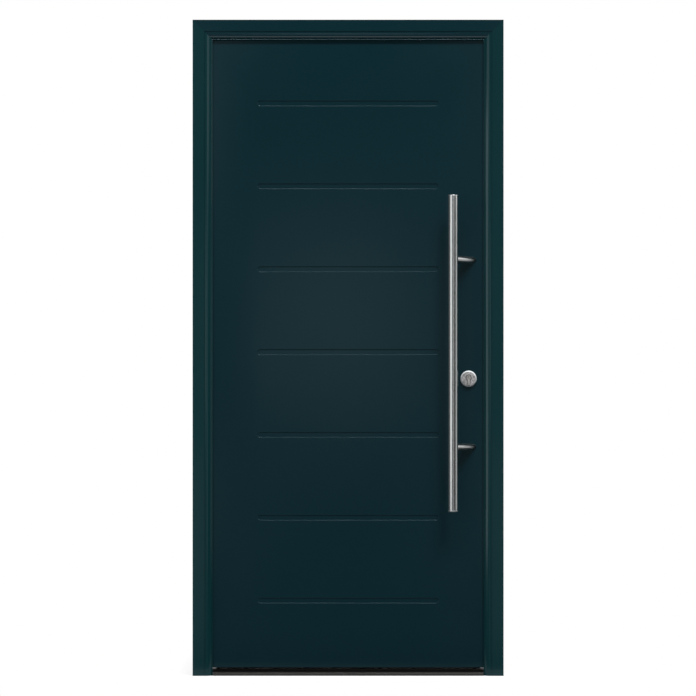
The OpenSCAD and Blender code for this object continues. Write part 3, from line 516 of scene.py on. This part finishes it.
def soft_light(name, place, target, width, height, power):
    """An area lamp at a place, turned to a target."""
    data = bpy.data.lights.new(name, "AREA")
    data.shape = "RECTANGLE"
    data.size, data.size_y = width, height
    data.energy = power
    lamp = bpy.data.objects.new(name, data)
    lamp.location = place
    way = Vector(target) - Vector(place)
    lamp.rotation_euler = way.to_track_quat("-Z", "Y").to_euler()
    lamp.visible_camera = False
    bpy.context.scene.collection.objects.link(lamp)


DOOR = (0, 0, 1.1)
BAR = (0.33, -0.09, 1.1)
BAR_TOP = (0.34, -0.09, 1.5)
BAR_LOW = (0.34, -0.09, 1.0)
FRONT = (0.3, 0, 1.1)

# Lamps: name, place, target, width and height in metres, power in watts
LAMPS = [
    ("key_box", (3.87, -6.6, 12.9), DOOR, 4.2, 4.2, 1150),
    ("top_strip", (0, -3.9, 8.0), DOOR, 6.0, 1.2, 380),
    ("left_box", (-2.3, -2.6, 1.25), BAR, 2.0, 2.2, 16.5),
    ("left_side", (-3.6, -0.7, 1.2), BAR, 2.4, 2.4, 2),
    ("right_high", (3.2, -0.2, 2.7), BAR_TOP, 2.0, 1.9, 16),
    ("right_low", (3.2, -0.35, 0.9), BAR_LOW, 2.0, 1.5, 5),
    ("front_box", (-0.08, -9.0, 1.5), DOOR, 1.15, 1.3, 4.3),
    ("front_left", (-3.4, -8.6, 1.3), FRONT, 1.5, 2.2, 5),
    ("front_right", (2.4, -8.6, 1.3), FRONT, 1.9, 3.0, 6.5),
    ("high_left", (-3.7, -8.0, 3.7), DOOR, 5.0, 2.2, 22),
    ("high_right", (3.8, -8.0, 3.7), DOOR, 5.0, 2.2, 24),
    ("low_box", (0, -6.0, -3.0), (0, 0, 1.5), 5.0, 2.5, 40),
    ("low_left", (-1.45, -8.8, -0.1), DOOR, 1.1, 1.4, 1.5),
    ("low_right", (1.45, -8.8, -0.1), DOOR, 1.1, 1.4, 1.1),
    ("back_left_box", (-2.6, 3.4, 2.8), (0, 0, 1.2), 3.2, 3.2, 24),
    ("back_right_box", (2.6, 3.4, 2.8), (0, 0, 1.2), 3.2, 3.2, 24),
]
for row in LAMPS:
    soft_light(*row)


def studio_world():
    """White to the camera, and behind the object to gloss and glass; a plain level of light otherwise."""
    world = bpy.data.worlds.new("studio")
    world.use_nodes = True
    g = Graph(world.node_tree)
    g.tree.nodes.clear()
    ray = g.node("ShaderNodeLightPath").outputs
    direction = g.split(g.node("ShaderNodeTexCoord").outputs["Generated"])
    shiny = g.calc("MAXIMUM", ray["Is Glossy Ray"], ray["Is Transmission Ray"], clamp=True)
    gloss_level = g.mix(g.span(direction["Y"], 0.0, 1.0, *BEHIND), FRONT_GLOSS, 1.0, "FLOAT")
    light_level = g.mix(shiny, AMBIENT, gloss_level, "FLOAT")
    level = g.mix(ray["Is Camera Ray"], light_level, 1.0, "FLOAT")
    background = g.node("ShaderNodeBackground", {"Color": level}).outputs[0]
    g.node("ShaderNodeOutputWorld", {"Surface": background})
    return world


def floor_material():
    """Pale floor: a plain matt surface to the light, near white to the camera with the shadow kept."""
    data = bpy.data.materials.new("pale_floor")
    data.use_nodes = True
    g = Graph(data.node_tree)
    g.tree.nodes.clear()
    place = g.split(g.node("ShaderNodeTexCoord").outputs["Object"])
    shade = g.span(g.calc("ABSOLUTE", place["X"]), FLOOR_SHADE, 0.0, *SHADE_SIDE)
    for ends in (SHADE_FRONT, SHADE_BACK):
        shade = g.calc("MULTIPLY", shade, g.span(place["Y"], 1.0, 0.0, *ends))
    plain = g.node("ShaderNodeBsdfDiffuse", {"Color": (FLOOR_TONE, FLOOR_TONE, FLOOR_TONE, 1)}).outputs[0]
    lit = g.node("ShaderNodeBsdfDiffuse", {"Color": (1, 1, 1, 1)}).outputs[0]
    white = g.node("ShaderNodeEmission", {"Strength": 1.0}).outputs[0]
    seen = g.node("ShaderNodeMixShader", {"Fac": shade, 1: white, 2: lit}).outputs[0]
    camera_ray = g.node("ShaderNodeLightPath").outputs["Is Camera Ray"]
    surface = g.node("ShaderNodeMixShader", {"Fac": camera_ray, 1: plain, 2: seen}).outputs[0]
    g.node("ShaderNodeOutputMaterial", {"Surface": surface})
    return data


bpy.context.scene.world = studio_world()

floor_mesh = bpy.data.meshes.new("floor")
floor_corners = [(-FLOOR_HALF, -FLOOR_FRONT, 0), (FLOOR_HALF, -FLOOR_FRONT, 0),
                 (FLOOR_HALF, FLOOR_HALF, 0), (-FLOOR_HALF, FLOOR_HALF, 0)]
floor_mesh.from_pydata(floor_corners, [], [(0, 1, 2, 3)])
floor_mesh.materials.append(floor_material())
floor = bpy.data.objects.new("floor", floor_mesh)
bpy.context.scene.collection.objects.link(floor)

bpy.context.scene.view_settings.view_transform = "Standard"
